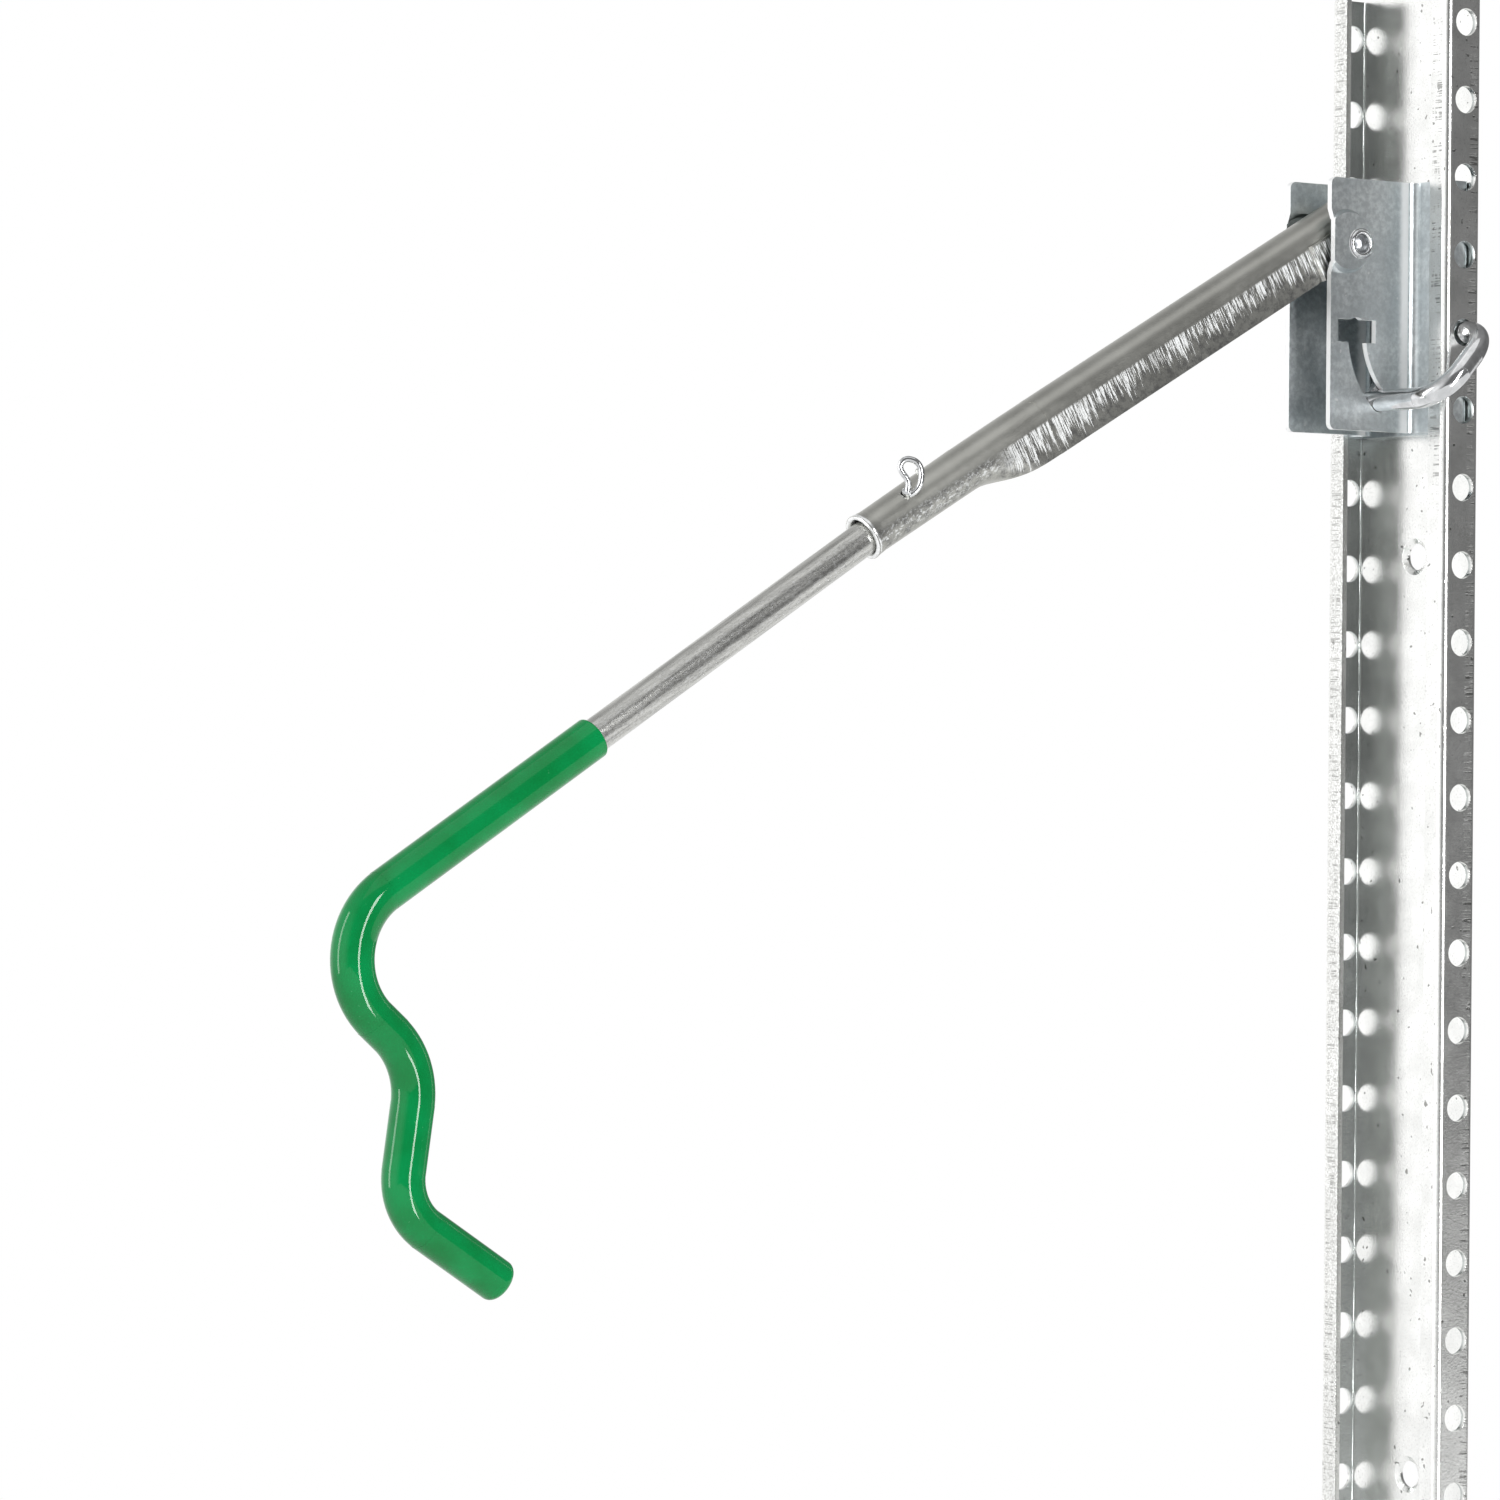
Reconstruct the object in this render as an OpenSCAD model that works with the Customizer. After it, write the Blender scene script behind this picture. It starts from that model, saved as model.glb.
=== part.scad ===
// Wall bike holder: a perforated wall rail, a bracket that slides in it and is locked by a swing latch,
// and a tilting arm that ends in a soft-coated hook.
// X points into the wall and is 0 on it, Y runs across the rail and Z is up.
// The origin lies on the wall, midway between the two wall screws.

/* [Wall rail] */
// Length of the rail
rail_l = 500; // [425:25:700]
// Width of the rail over its two flanges
rail_w = 58; // [52:1:66]
// Depth of the rail from the wall to the front of its lips
rail_d = 15; // [14:0.5:20]
// Sheet thickness of the rail
rail_t = 2; // [1.6:0.1:2.4]
// Width of each lip that turns inwards at the front
rail_lip = 8; // [6:0.5:9]
// Inside radius of the rail's bends
rail_bend_r = 0.6; // [0.4:0.1:1]
// Distance between the holes along a flange
hole_pitch = 25; // [20:1:32]
// Diameter of the flange holes
hole_d = 8.8; // [8:0.1:9.4]
// Distance from the wall to the centres of the flange holes
hole_back = 7; // [6.6:0.1:7.6]
// Distance between the two wall screws
screw_pitch = 300; // [200:10:320]
// Diameter of the wall screw holes
screw_d = 8.7; // [6:0.1:10]
// Diameter of the wall screws' countersinks
screw_head_d = 12; // [11:0.1:16]
// Depth of the wall screws' countersinks
screw_head_h = 1; // [0.5:0.1:1.4]
// Distance from the lower wall screw to the rail's lower end
rail_foot = 16; // [12:1:60]

/* [Bracket] */
// Sheet thickness of the bracket
bracket_t = 2; // [1.6:0.1:2.2]
// Distance from the wall to the front edges of the cheeks
cheek_out = 48; // [46:0.5:56]
// Inside radius of the small bends inside the rail
bracket_bend_r = 1.5; // [0.8:0.1:1.8]
// Inside radius of the bends from the cheeks to the returns
cheek_bend_r = 3; // [1.5:0.5:4]
// Height of the bracket above the latch's axis
bracket_up = 49; // [46:1:60]
// Height of the bracket below the latch's axis
bracket_down = 32; // [30:1:50]
// Radius of the cheeks' front corners
corner_r = 2.2; // [1:0.2:6]
// Gap between the bracket and the rail that it slides in
slide_gap = 0.3; // [0.2:0.05:0.5]
// Which flange hole holds the latch, counted from the rail's upper end
latch_hole = 4; // [2:1:10]

/* [Pivot] */
// Distance from the wall to the arm's pivot
pivot_out = 37; // [36:0.5:40]
// Height of the pivot above the latch's axis
pivot_up = 28; // [27:0.5:34]
// Diameter of the rivet's shank
rivet_d = 6.5; // [5:0.1:7]
// Bore in the rivet's end
rivet_bore = 5.2; // [4:0.1:5.4]
// Depth of the rivet's bore
rivet_bore_h = 4; // [3:0.5:10]
// Diameter of the rivet's rolled rim
rivet_rim_d = 8.8; // [8.2:0.1:10]
// Height of the rivet's rolled rim
rivet_rim_h = 1; // [0.6:0.1:1.4]
// Diameter of the rivet's flat head on the far side
rivet_head_d = 11; // [9:0.5:13]
// Radial play of the arm on the rivet
pivot_play = 0.06; // [0.03:0.01:0.1]
// Outer diameter of the spacer bush on the rivet
bush_d = 9.6; // [8.6:0.1:10.6]
// How far the cheeks are pressed out round the pivot
boss_out = 1.8; // [1.4:0.1:2]
// Radius of the pressed-out place
boss_r = 10.3; // [10:0.1:11]
// How far above the pivot the pressed-out place has its centre
boss_rise = 0.6; // [0:0.1:1.5]
// Width of the slope round the pressed-out place
boss_slope = 1.1; // [0.8:0.1:1.4]
// Width of its gentler slope along the cheek's front edge
boss_lead = 4.6; // [2:0.1:6]
// How far in front of the pivot the pressed-out place has its centre
boss_shift = 4.6; // [4:0.1:5]

/* [Arm] */
// Angle of the arm below level at rest
arm_tilt = 29.5; // [5:0.5:55]
// Outer width of the arm's channel and diameter of its tube
arm_d = 14.7; // [13:0.1:15.2]
// Sheet thickness of the arm
arm_t = 1.3; // [1.2:0.1:1.5]
// Height of the arm's open channel
arm_h = 18.9; // [18:0.1:22]
// Height of the pivot above the channel's lower edges
arm_low = 5.3; // [5:0.1:7]
// Length of the open channel in front of the pivot
channel_l = 136; // [60:1:140]
// Length over which the channel closes to a tube
closing_l = 32; // [20:1:36]
// Length of the closed tube
tube_l = 43; // [36:1:80]
// How much smaller the tube's radius is at its mouth
tube_narrow = 0.35; // [0:0.05:0.4]
// Length of the arm behind its pivot
arm_back = 8; // [7:0.5:10]
// Droop of the tube against the channel
tube_droop = 1.1; // [0:0.1:2]
// How much wider each flank stands at the pivot
flank_step = 0.9; // [0.6:0.1:1.2]
// Length of the wide flanks in front of the pivot
flank_l = 15; // [12:1:30]
// Radius of the ears that reach down round the pivot
ear_r = 7.6; // [6:0.1:8]
// How much the mouth of the tube is flared
mouth_flare = 0.4; // [0.1:0.1:0.8]
// Length of the flare
mouth_l = 4; // [2:0.5:8]

/* [Hook rod] */
// Diameter of the rod
rod_d = 10.5; // [9:0.1:10.9]
// Length of the rod inside the tube
rod_in = 34; // [32:1:36]
// Length from the tube's mouth to the first corner of the hook
rod_l = 230; // [180:1:300]
// Length from the first corner to the second
hook_a = 50.5; // [46:0.5:70]
// Length from the second corner to the third
hook_b = 43; // [30:0.5:60]
// Length from the third corner to the tip
hook_c = 42; // [25:0.5:80]
// Turn at the first corner
turn_a = 106.7; // [80:0.1:110]
// Turn back at the second corner
turn_b = 57.2; // [30:0.1:60]
// Turn at the third corner
turn_c = 65; // [40:0.5:80]
// Bend radius of the first two corners
hook_r = 23.5; // [16:0.5:24]
// Bend radius of the third corner
tip_r = 18; // [12:0.5:22]

/* [Grip sleeve] */
// Diameter of the soft sleeve
sleeve_d = 13; // [12:0.1:16]
// Length of bare rod between the tube's mouth and the sleeve
bare_l = 115; // [60:1:130]
// Thickness of the sleeve over the rod's end
cap_t = 3; // [2:0.5:6]
// Rounding of the sleeve's tip
cap_r = 2.5; // [1:0.5:4]
// Rounding of the sleeve's other end
collar_r = 0.8; // [0.2:0.1:1]

/* [Latch pin] */
// Diameter of the latch's wire
latch_d = 7; // [5.5:0.1:7.2]
// Distance between the latch's two legs
latch_reach = 30; // [28:0.5:31]
// Angle of the locked latch below level
latch_drop = 47.5; // [40:0.5:50]
// Straight wire between the rail and the bow
latch_neck = 1; // [0.5:0.5:6]
// Straight wire between the bow's two bends
bow_flat = 6; // [1:0.5:8]
// Length of the flattened ears
ear_l = 15; // [12:0.5:15]
// Thickness of the flattened ears
ear_t = 2.4; // [1.5:0.1:2.6]
// How far the latch's leg stands inside the bracket's wall
latch_in = 0.6; // [0.2:0.1:1]
// Play of the latch in its slot, its hole and its window
latch_play = 0.2; // [0.15:0.05:0.3]
// Radius of the notch over the window
notch_r = 3.1; // [2:0.1:3.6]
// Height of the notch above the window
notch_rise = 0.8; // [0.4:0.1:1.2]

/* [Split pin] */
// Distance from the tube's mouth back to the split pin
pin_back = 18; // [14:1:24]
// Diameter of the split pin's shank
pin_d = 3; // [2:0.1:3.4]
// Inner diameter of the eye
eye_d = 5; // [4:0.1:5.4]
// Radius of the eye's half-round wire
eye_wire_r = 1.3; // [1:0.1:1.8]
// Lean of the eye towards the wall
eye_lean = 29; // [0:1:30]
// Turn of the split pin round the tube, from the top towards the latch's side
pin_turn = 40; // [30:1:44]
// How far the shank stands out of the tube, up to the middle of its corner
pin_rise = 1.2; // [1:0.1:2]
// Length of the neck from that corner to the eye
eye_neck = 0.4; // [0.3:0.1:2]
// Play of the split pin in its holes
pin_play = 0.15; // [0.1:0.05:0.3]
// Distance from the shank's end up to the tube's underside
pin_short = 0.6; // [0.2:0.1:1]
// Radius of the small stop on the tube beside the split pin
nub_r = 1.2; // [0.8:0.1:1.6]
// Distance from the split pin to the small stop
nub_back = 10.5; // [8:0.5:12]

/* [Hidden] */
$fn = 72;

// How far each cut runs past the solid that it cuts
over = 1;
// Least gap between pieces that only touch
touch = 0.1;
// Gap between the arm's wide flanks and the cheeks
arm_gap = 1.05;

// Heights along the rail
rail_low = -screw_pitch / 2 - rail_foot;
rail_high = rail_low + rail_l;
holes = floor(rail_l / hole_pitch);
latch_z = rail_high - (latch_hole + 0.5) * hole_pitch;
pivot_z = latch_z + pivot_up;

// Places across the bracket, each measured from the middle
wide_y = arm_d / 2 + flank_step;
cheek_in = wide_y + arm_gap;
cheek_y = cheek_in + bracket_t;
side_y = rail_w / 2 - rail_t - slide_gap;

// The arm's round top has its centre this high above the pivot
crown_h = arm_h - arm_low - arm_d / 2;
flank_h = arm_h - arm_d / 2;
// Half the width of the seam under the tube, and the angle that it takes from each side
seam = 0.3;
seam_a = asin(seam / (arm_d / 2));
closing_drop = closing_l * sin(tube_droop) / 2;
// Into how many lengths the closing part is cut, and each half of its strip
closing_cuts = 12;
strip_cuts = 14;
// How far the closing part keeps inside the sheet of its neighbours, and how far it runs into them
closing_inset = 0.05;
closing_lap = 0.4;
// How far a bar's straight legs run into its bends, and how much thinner the bends are
bar_lap = 0.8;
bar_step = 0.1;

// The loose rod lies on the mouth's lower side and against the tube's upper side at its inner end
rod_gap = arm_d / 2 - tube_narrow - arm_t - rod_d / 2 - touch;
rod_slack = atan((2 * rod_gap + tube_narrow * rod_in / tube_l) / rod_in);
rod_turns = [-turn_a, turn_b, -turn_c];
rod_radii = [hook_r, hook_r, tip_r];

slot_w = latch_d + 2 * latch_play;
bow_r = (latch_reach - bow_flat) / 2;
ear_y = cheek_in - latch_play;
ear_w = latch_d - 2 * latch_play;

// The length that a bend takes from each of the two legs beside it
function setback(turns, radii, i) =
    i < 1 || i > len(turns) ? 0 : radii[i - 1] * tan(abs(turns[i - 1]) / 2);

// A sheet along a chain of straight legs with a bend between each two. The section, a child, has its
// X to the left of the way.
module bent(legs, turns, radii, i = 0) {
    run = legs[i] - setback(turns, radii, i) - setback(turns, radii, i + 1);
    rotate([90, 0, 90]) linear_extrude(run) children();
    if (i < len(turns)) {
        left = turns[i] > 0;
        bow = left ? radii[i] : -radii[i];
        translate([run, bow, 0]) {
            rotate([0, 0, left ? -90 : 90 + turns[i]]) rotate_extrude(angle = abs(turns[i]))
                translate([radii[i], 0]) mirror([left ? 1 : 0, 0]) children();
            rotate([0, 0, turns[i]]) translate([0, -bow, 0]) bent(legs, turns, radii, i + 1) children();
        }
    }
}

// A round bar along such a chain. The straight legs run a little into the bends, which are a hair
// thinner, so that they lie inside them there. Children stand on the chain's end, along Z.
module bar(d, legs, turns, radii, i = 0) {
    before = setback(turns, radii, i);
    after = setback(turns, radii, i + 1);
    run = legs[i] - before - after;
    first = before > 0 ? bar_lap : 0;
    translate([-first, 0, 0]) rotate([0, 90, 0])
        cylinder(d = d, h = run + first + (after > 0 ? bar_lap : 0));
    if (i < len(turns)) {
        bow = turns[i] > 0 ? radii[i] : -radii[i];
        translate([run, bow, 0]) {
            rotate([0, 0, turns[i] > 0 ? -90 : 90 + turns[i]]) rotate_extrude(angle = abs(turns[i]))
                translate([radii[i], 0]) circle(d = d - bar_step);
            rotate([0, 0, turns[i]]) translate([0, -bow, 0]) bar(d, legs, turns, radii, i + 1) children();
        }
    } else {
        translate([run, 0, 0]) rotate([0, 90, 0]) children();
    }
}

// The section of a bent sheet, centred on the sheet's mid-line
module sheet(t, h) {
    translate([-t / 2, 0]) square([t, h]);
}

// A disc's rounded end: a short plug whose outer edge is rounded at its far end
module round_end(r, edge) {
    rotate_extrude() intersection() {
        union() {
            translate([r - edge, 0]) circle(edge);
            square([r - edge, edge]);
        }
        square([r, edge]);
    }
}

// Frames that carry the pieces: X along the piece, Y up from it, Z towards the viewer's side
module arm_frame() {
    translate([-pivot_out, 0, pivot_z]) rotate([0, -arm_tilt, 0]) mirror([1, 0, 0])
        rotate([90, 0, 0]) children();
}

module tube_frame() {
    arm_frame() translate([channel_l + closing_l, crown_h - closing_drop, 0])
        rotate([0, 0, -tube_droop]) children();
}

module rod_frame() {
    tube_frame() translate([tube_l, -rod_gap, 0]) rotate([0, 0, -rod_slack]) children();
}

module pin_frame() {
    tube_frame() translate([tube_l - pin_back, 0, 0]) rotate([90 + pin_turn, 0, 0]) children();
}

// The cheeks' side plane at a distance y from the middle: X and Y there are the model's X and Z
module side_plane(y) {
    translate([0, y, 0]) rotate([90, 0, 0]) children();
}

module wall_rail() {
    mid_r = rail_bend_r + rail_t / 2;
    lip = rail_lip - rail_t / 2;
    flange = rail_d - rail_t;
    color("#9a9d99") difference() {
        translate([-rail_d + rail_t / 2, -rail_w / 2 + rail_lip, rail_low]) rotate([0, 0, -90])
            bent([lip, flange, rail_w - rail_t, flange, lip], [90, 90, 90, 90],
                [mid_r, mid_r, mid_r, mid_r])
                sheet(rail_t, rail_l);
        for (i = [0 : holes - 1])
            translate([-hole_back, rail_w / 2 + over, rail_high - (i + 0.5) * hole_pitch])
                rotate([90, 0, 0]) cylinder(d = hole_d, h = rail_w + 2 * over);
        for (side = [-1, 1])
            translate([0, 0, side * screw_pitch / 2]) rotate([0, -90, 0]) {
                translate([0, 0, -over]) cylinder(d = screw_d, h = rail_t + 2 * over);
                translate([0, 0, rail_t - screw_head_h])
                    cylinder(d1 = screw_d, d2 = screw_head_d, h = screw_head_h);
                translate([0, 0, rail_t]) cylinder(d = screw_head_d, h = over);
            }
    }
}

// The place pressed out of each cheek, open to the cheek's front edge; skirt runs it back into the sheet
module boss(skirt) {
    front = cheek_out - pivot_out - boss_shift;
    lead = boss_r - boss_lead;
    translate([-pivot_out - boss_shift, pivot_z + boss_rise, 0]) intersection() {
        union() {
            cylinder(r1 = boss_r, r2 = boss_r - boss_slope, h = boss_out);
            translate([0, 0, -skirt]) cylinder(r = boss_r, h = skirt);
            translate([-front, 0, 0]) rotate([90, 0, 90]) linear_extrude(front)
                polygon([[-boss_r, -skirt], [boss_r, -skirt], [boss_r, 0], [lead, boss_out],
                    [-lead, boss_out], [-boss_r, 0]]);
        }
        translate([-front, -boss_r, -skirt]) cube([front + boss_r, 2 * boss_r, skirt + boss_out]);
    }
}

module cheek_corner() {
    difference() {
        translate([-over, -over]) square([corner_r + over, corner_r + over]);
        translate([corner_r, corner_r]) circle(corner_r);
    }
}

module bracket() {
    front = rail_d - rail_t - slide_gap - bracket_t / 2;
    back = rail_t + slide_gap + bracket_t / 2;
    mid_y = side_y - bracket_t / 2;
    cheek = cheek_out - front;
    step = mid_y - cheek_in - bracket_t / 2;
    small_r = bracket_bend_r + bracket_t / 2;
    large_r = cheek_bend_r + bracket_t / 2;
    bracket_h = bracket_up + bracket_down;
    color("#8d979c") difference() {
        union() {
            translate([-cheek_out, -cheek_in - bracket_t / 2, latch_z - bracket_down])
                bent([cheek, step, front - back, 2 * mid_y, front - back, step, cheek],
                    [-90, 90, 90, 90, 90, -90],
                    [large_r, small_r, small_r, small_r, small_r, large_r])
                    sheet(bracket_t, bracket_h);
            for (side = [-1, 1]) mirror([0, side > 0 ? 1 : 0, 0])
                side_plane(-cheek_y) boss(touch);
        }
        for (side = [-1, 1]) mirror([0, side > 0 ? 1 : 0, 0])
            side_plane(-cheek_in) boss(over);
        for (high = [0, 1])
            translate([-cheek_out, cheek_y + over, high ? latch_z + bracket_up : latch_z - bracket_down])
                rotate([90, 0, 0]) mirror([0, high, 0])
                    linear_extrude(2 * (cheek_y + over)) cheek_corner();
        translate([-pivot_out, cheek_y + boss_out + over, pivot_z]) rotate([90, 0, 0])
            cylinder(d = rivet_d + touch, h = 2 * (cheek_y + boss_out + over));
        side_plane(-cheek_in + over) translate([0, latch_z, 0]) {
            deep = bracket_t + 2 * over;
            translate([-hole_back, 0, 0]) rotate([0, 0, 180]) {
                rotate_extrude(angle = latch_drop)
                    translate([latch_reach - slot_w / 2, 0]) square([slot_w, deep]);
                rotate([0, 0, latch_drop]) translate([latch_reach, 0, 0])
                    cylinder(d = slot_w, h = deep);
                translate([latch_reach - ear_l / 2 - 2 * latch_play, -slot_w / 2, 0])
                    cube([ear_l + 4 * latch_play, slot_w, deep]);
                translate([latch_reach, notch_r - notch_rise - slot_w / 2, 0])
                    cylinder(r = notch_r, h = deep);
            }
        }
        translate([-hole_back, -side_y + bracket_t + latch_in + latch_play, latch_z])
            rotate([90, 0, 0]) cylinder(d = slot_w, h = bracket_t + latch_in + latch_play + over);
    }
}

// Two fibre washers on the rivet, in the hollows behind the pressed-out places, that brake the arm
module friction_washers() {
    outer = boss_r - boss_slope - norm([boss_shift, boss_rise]) - touch;
    thick = arm_gap + boss_out - 2 * touch;
    color("#2b2b2b") for (side = [-1, 1]) mirror([0, side > 0 ? 1 : 0, 0])
        side_plane(-wide_y - touch) translate([-pivot_out, pivot_z, 0]) difference() {
            cylinder(r = outer, h = thick);
            translate([0, 0, -over]) cylinder(d = rivet_d + 2 * touch, h = thick + 2 * over);
        }
}

module pivot_rivet() {
    grip = cheek_y + boss_out;
    roll = (rivet_rim_d - rivet_bore) / 2;
    color("#c9ccce") translate([-pivot_out, 0, pivot_z]) rotate([90, 0, 0]) difference() {
        union() {
            translate([0, 0, -grip - rivet_rim_h]) cylinder(d = rivet_d, h = 2 * (grip + rivet_rim_h));
            translate([0, 0, grip]) {
                cylinder(d = rivet_rim_d, h = rivet_rim_h / 2);
                translate([0, 0, rivet_rim_h / 2])
                    cylinder(d1 = rivet_rim_d, d2 = rivet_rim_d - roll, h = rivet_rim_h / 2);
            }
            translate([0, 0, -grip - rivet_rim_h])
                cylinder(d1 = rivet_head_d - rivet_rim_h, d2 = rivet_head_d, h = rivet_rim_h);
        }
        translate([0, 0, grip + rivet_rim_h - rivet_bore_h])
            cylinder(d = rivet_bore, h = rivet_bore_h + over);
        translate([0, 0, grip + rivet_rim_h / 2])
            cylinder(d1 = rivet_bore, d2 = rivet_bore + roll, h = rivet_rim_h / 2);
    }
}

module pivot_bush() {
    half = wide_y - arm_t - touch;
    color("#b9bdbf") translate([-pivot_out, half, pivot_z]) rotate([90, 0, 0]) difference() {
        cylinder(d = bush_d, h = 2 * half);
        translate([0, 0, -over]) cylinder(d = rivet_d + 2 * pivot_play, h = 2 * (half + over));
    }
}

// A place on the strip that the arm is rolled from, a way out from its middle, at a radius r: round
// the top, down the flank and then curled inwards
function on_strip(way, flank, r) = let (
    top = 90 * PI * arm_d / 360,
    down = min(max(way - top, 0), flank),
    turn = (min(way, top) + max(way - top - flank, 0)) * 360 / (PI * arm_d))
    [r * sin(turn), r * cos(turn) - down];

// The section at a share u of the closing length, from the channel to the tube, and a way beyond it.
// It keeps a little inside the sheet of both, into which its ends run.
function closing_section(u, beyond) = let (
    f = u * u * (3 - 2 * u),
    flank = flank_h * (1 - f),
    width = PI * arm_d / 4 + flank + (90 - seam_a) * f * PI * arm_d / 360 - closing_inset,
    skin = function (r, k) let (q = on_strip(width * abs(k) / strip_cuts, flank, r))
        [sign(k) * q[0], q[1]],
    outer = [for (k = [-strip_cuts : strip_cuts]) skin(arm_d / 2 - closing_inset, k)],
    inner = [for (k = [strip_cuts : -1 : -strip_cuts]) skin(arm_d / 2 - arm_t + closing_inset, k)],
    lean = tube_droop * u)
    [for (q = concat(outer, inner))
        [channel_l + closing_l * u + q[1] * sin(lean) + beyond * cos(lean),
            crown_h - closing_drop * u * u + q[1] * cos(lean) - beyond * sin(lean), q[0]]];

module closing() {
    rings = [closing_section(0, -closing_lap),
        for (i = [0 : closing_cuts]) closing_section(i / closing_cuts, 0),
        closing_section(1, closing_lap)];
    n = len(rings[0]);
    last = (len(rings) - 1) * n;
    sides = [for (i = [0 : len(rings) - 2], k = [0 : n - 1])
        let (a = i * n + k, b = i * n + (k + 1) % n) each [[a, a + n, b + n], [a, b + n, b]]];
    ends = [for (k = [0 : n / 2 - 2]) let (a = k, b = n - 1 - k)
        each [[a, a + 1, b], [a + 1, b - 1, b], [last + a, last + b, last + a + 1],
            [last + a + 1, last + b, last + b - 1]]];
    polyhedron([for (ring = rings) each ring], concat(sides, ends));
}

module channel_section(r, low) {
    translate([0, crown_h]) intersection() {
        circle(r);
        translate([-r, 0]) square([2 * r, r]);
    }
    translate([-r, low]) square([2 * r, crown_h - low]);
}

// One flank's plate round the pivot, with its ear, over a height from low to high across the arm
module wide_flank(back, low, high, top) {
    intersection() {
        union() {
            translate([-arm_back - back, -arm_low - touch - back, low])
                cube([arm_back + back + flank_l + flank_step, arm_low + touch + back + top, high - low]);
            translate([0, 0, low]) cylinder(r = ear_r + back, h = high - low);
        }
        translate([0, arm_h, 0]) rotate([90, 0, 0]) linear_extrude(3 * arm_h)
            polygon([[-arm_back - back - over, low], [flank_l + flank_step, low],
                [flank_l + flank_step, high - flank_step], [flank_l, high],
                [-arm_back - back - over, high]]);
    }
}

module swing_arm() {
    r = arm_d / 2;
    inner = r - arm_t;
    neck = r - tube_narrow;
    bend = arm_t / 2;
    color("#8f8f88") {
        arm_frame() difference() {
            union() {
                translate([-arm_back, 0, 0]) rotate([0, 90, 0])
                    linear_extrude(arm_back + channel_l) channel_section(r, -arm_low);
                for (side = [0, 1]) mirror([0, 0, side])
                    wide_flank(0, bend, r + flank_step, crown_h + bend);
            }
            translate([-arm_back - over, 0, 0]) rotate([0, 90, 0])
                linear_extrude(arm_back + channel_l + 2 * over)
                    channel_section(inner, -arm_low - 2 * ear_r);
            for (side = [0, 1]) mirror([0, 0, side]) translate([-bend, 0, 0])
                wide_flank(over, bend, inner + flank_step, crown_h - bend);
            translate([0, 0, -arm_d]) cylinder(d = rivet_d + 2 * pivot_play, h = 2 * arm_d);
        }
        arm_frame() closing();
        difference() {
            union() {
                tube_frame() rotate([0, 90, 0]) rotate_extrude()
                    polygon([[inner, 0], [r, 0], [neck, tube_l - mouth_l], [neck + mouth_flare, tube_l],
                        [neck - arm_t + mouth_flare, tube_l], [neck - arm_t, tube_l - mouth_l]]);
                tube_frame() translate([tube_l - pin_back - nub_back, r, 0]) sphere(nub_r);
            }
            tube_frame() translate([-over, -r - over, -seam])
                cube([tube_l + 2 * over, r + over, 2 * seam]);
            tube_frame() rotate([0, 90, 0]) cylinder(r = neck - arm_t - touch / 2, h = tube_l);
            pin_frame() translate([0, 0, -r - over]) cylinder(d = pin_d + 2 * pin_play, h = 2 * (r + over));
        }
    }
}

// An eye on a straight shank that passes through the tube and the rod. The eye stands upright.
module split_pin() {
    r = arm_d / 2;
    eye_r = eye_d / 2;
    color("#d2d5d6") pin_frame() {
        cylinder(d = pin_d, h = r - tube_narrow - pin_short);
        translate([0, 0, -r - pin_rise]) {
            cylinder(d = pin_d, h = r + pin_rise);
            sphere(d = pin_d);
            rotate([-pin_turn, 0, 0]) rotate([0, eye_lean, 0]) {
                translate([0, 0, -eye_neck - eye_wire_r / 2])
                    cylinder(r = eye_wire_r, h = eye_neck + eye_wire_r / 2);
                translate([0, 0, -eye_neck - eye_r - eye_wire_r]) rotate([0, 90, 0]) rotate_extrude()
                    translate([eye_r, 0]) intersection() {
                        circle(eye_wire_r);
                        translate([0, -eye_wire_r]) square([eye_wire_r, 2 * eye_wire_r]);
                    }
            }
        }
    }
}

module hook_rod() {
    color("#a3a39c") difference() {
        rod_frame() translate([-rod_in, 0, 0])
            bar(rod_d, [rod_in + rod_l, hook_a, hook_b, hook_c - cap_t], rod_turns, rod_radii);
        pin_frame() translate([0, 0, -arm_d]) cylinder(d = pin_d + 2 * pin_play, h = 2 * arm_d);
    }
}

module grip_sleeve() {
    r = sleeve_d / 2;
    color("#0a8f47") rod_frame() difference() {
        translate([bare_l + collar_r, 0, 0]) {
            bar(sleeve_d, [rod_l - bare_l - collar_r, hook_a, hook_b, hook_c - cap_r], rod_turns,
                rod_radii) round_end(r, cap_r);
            rotate([0, -90, 0]) round_end(r, collar_r);
        }
        translate([bare_l - over, 0, 0])
            bar(rod_d + touch, [rod_l - bare_l + over, hook_a, hook_b, hook_c - cap_t + touch],
                rod_turns, rod_radii);
    }
}

// Wire from the rail's flange hole, round a bow and back into the cheek's slot, where its flattened
// end holds behind the sheet
module latch_pin() {
    inner_y = side_y - bracket_t - latch_in;
    bow_y = rail_w / 2 + latch_neck + bow_r;
    color("#d2d5d6") translate([-hole_back, 0, latch_z]) rotate([0, -latch_drop, 0])
        rotate([180, 0, -90]) {
            translate([inner_y, 0, 0])
                bar(latch_d, [bow_y - inner_y, latch_reach, bow_y - ear_y + ear_t], [90, 90],
                    [bow_r, bow_r]);
            translate([ear_y - ear_t, latch_reach - ear_l / 2, -ear_w / 2])
                cube([ear_t, ear_l, ear_w]);
        }
}

wall_rail();
bracket();
friction_washers();
pivot_rivet();
pivot_bush();
swing_arm();
split_pin();
hook_rod();
grip_sleeve();
latch_pin();
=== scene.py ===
import math

import bpy
from mathutils import Matrix, Vector


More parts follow.
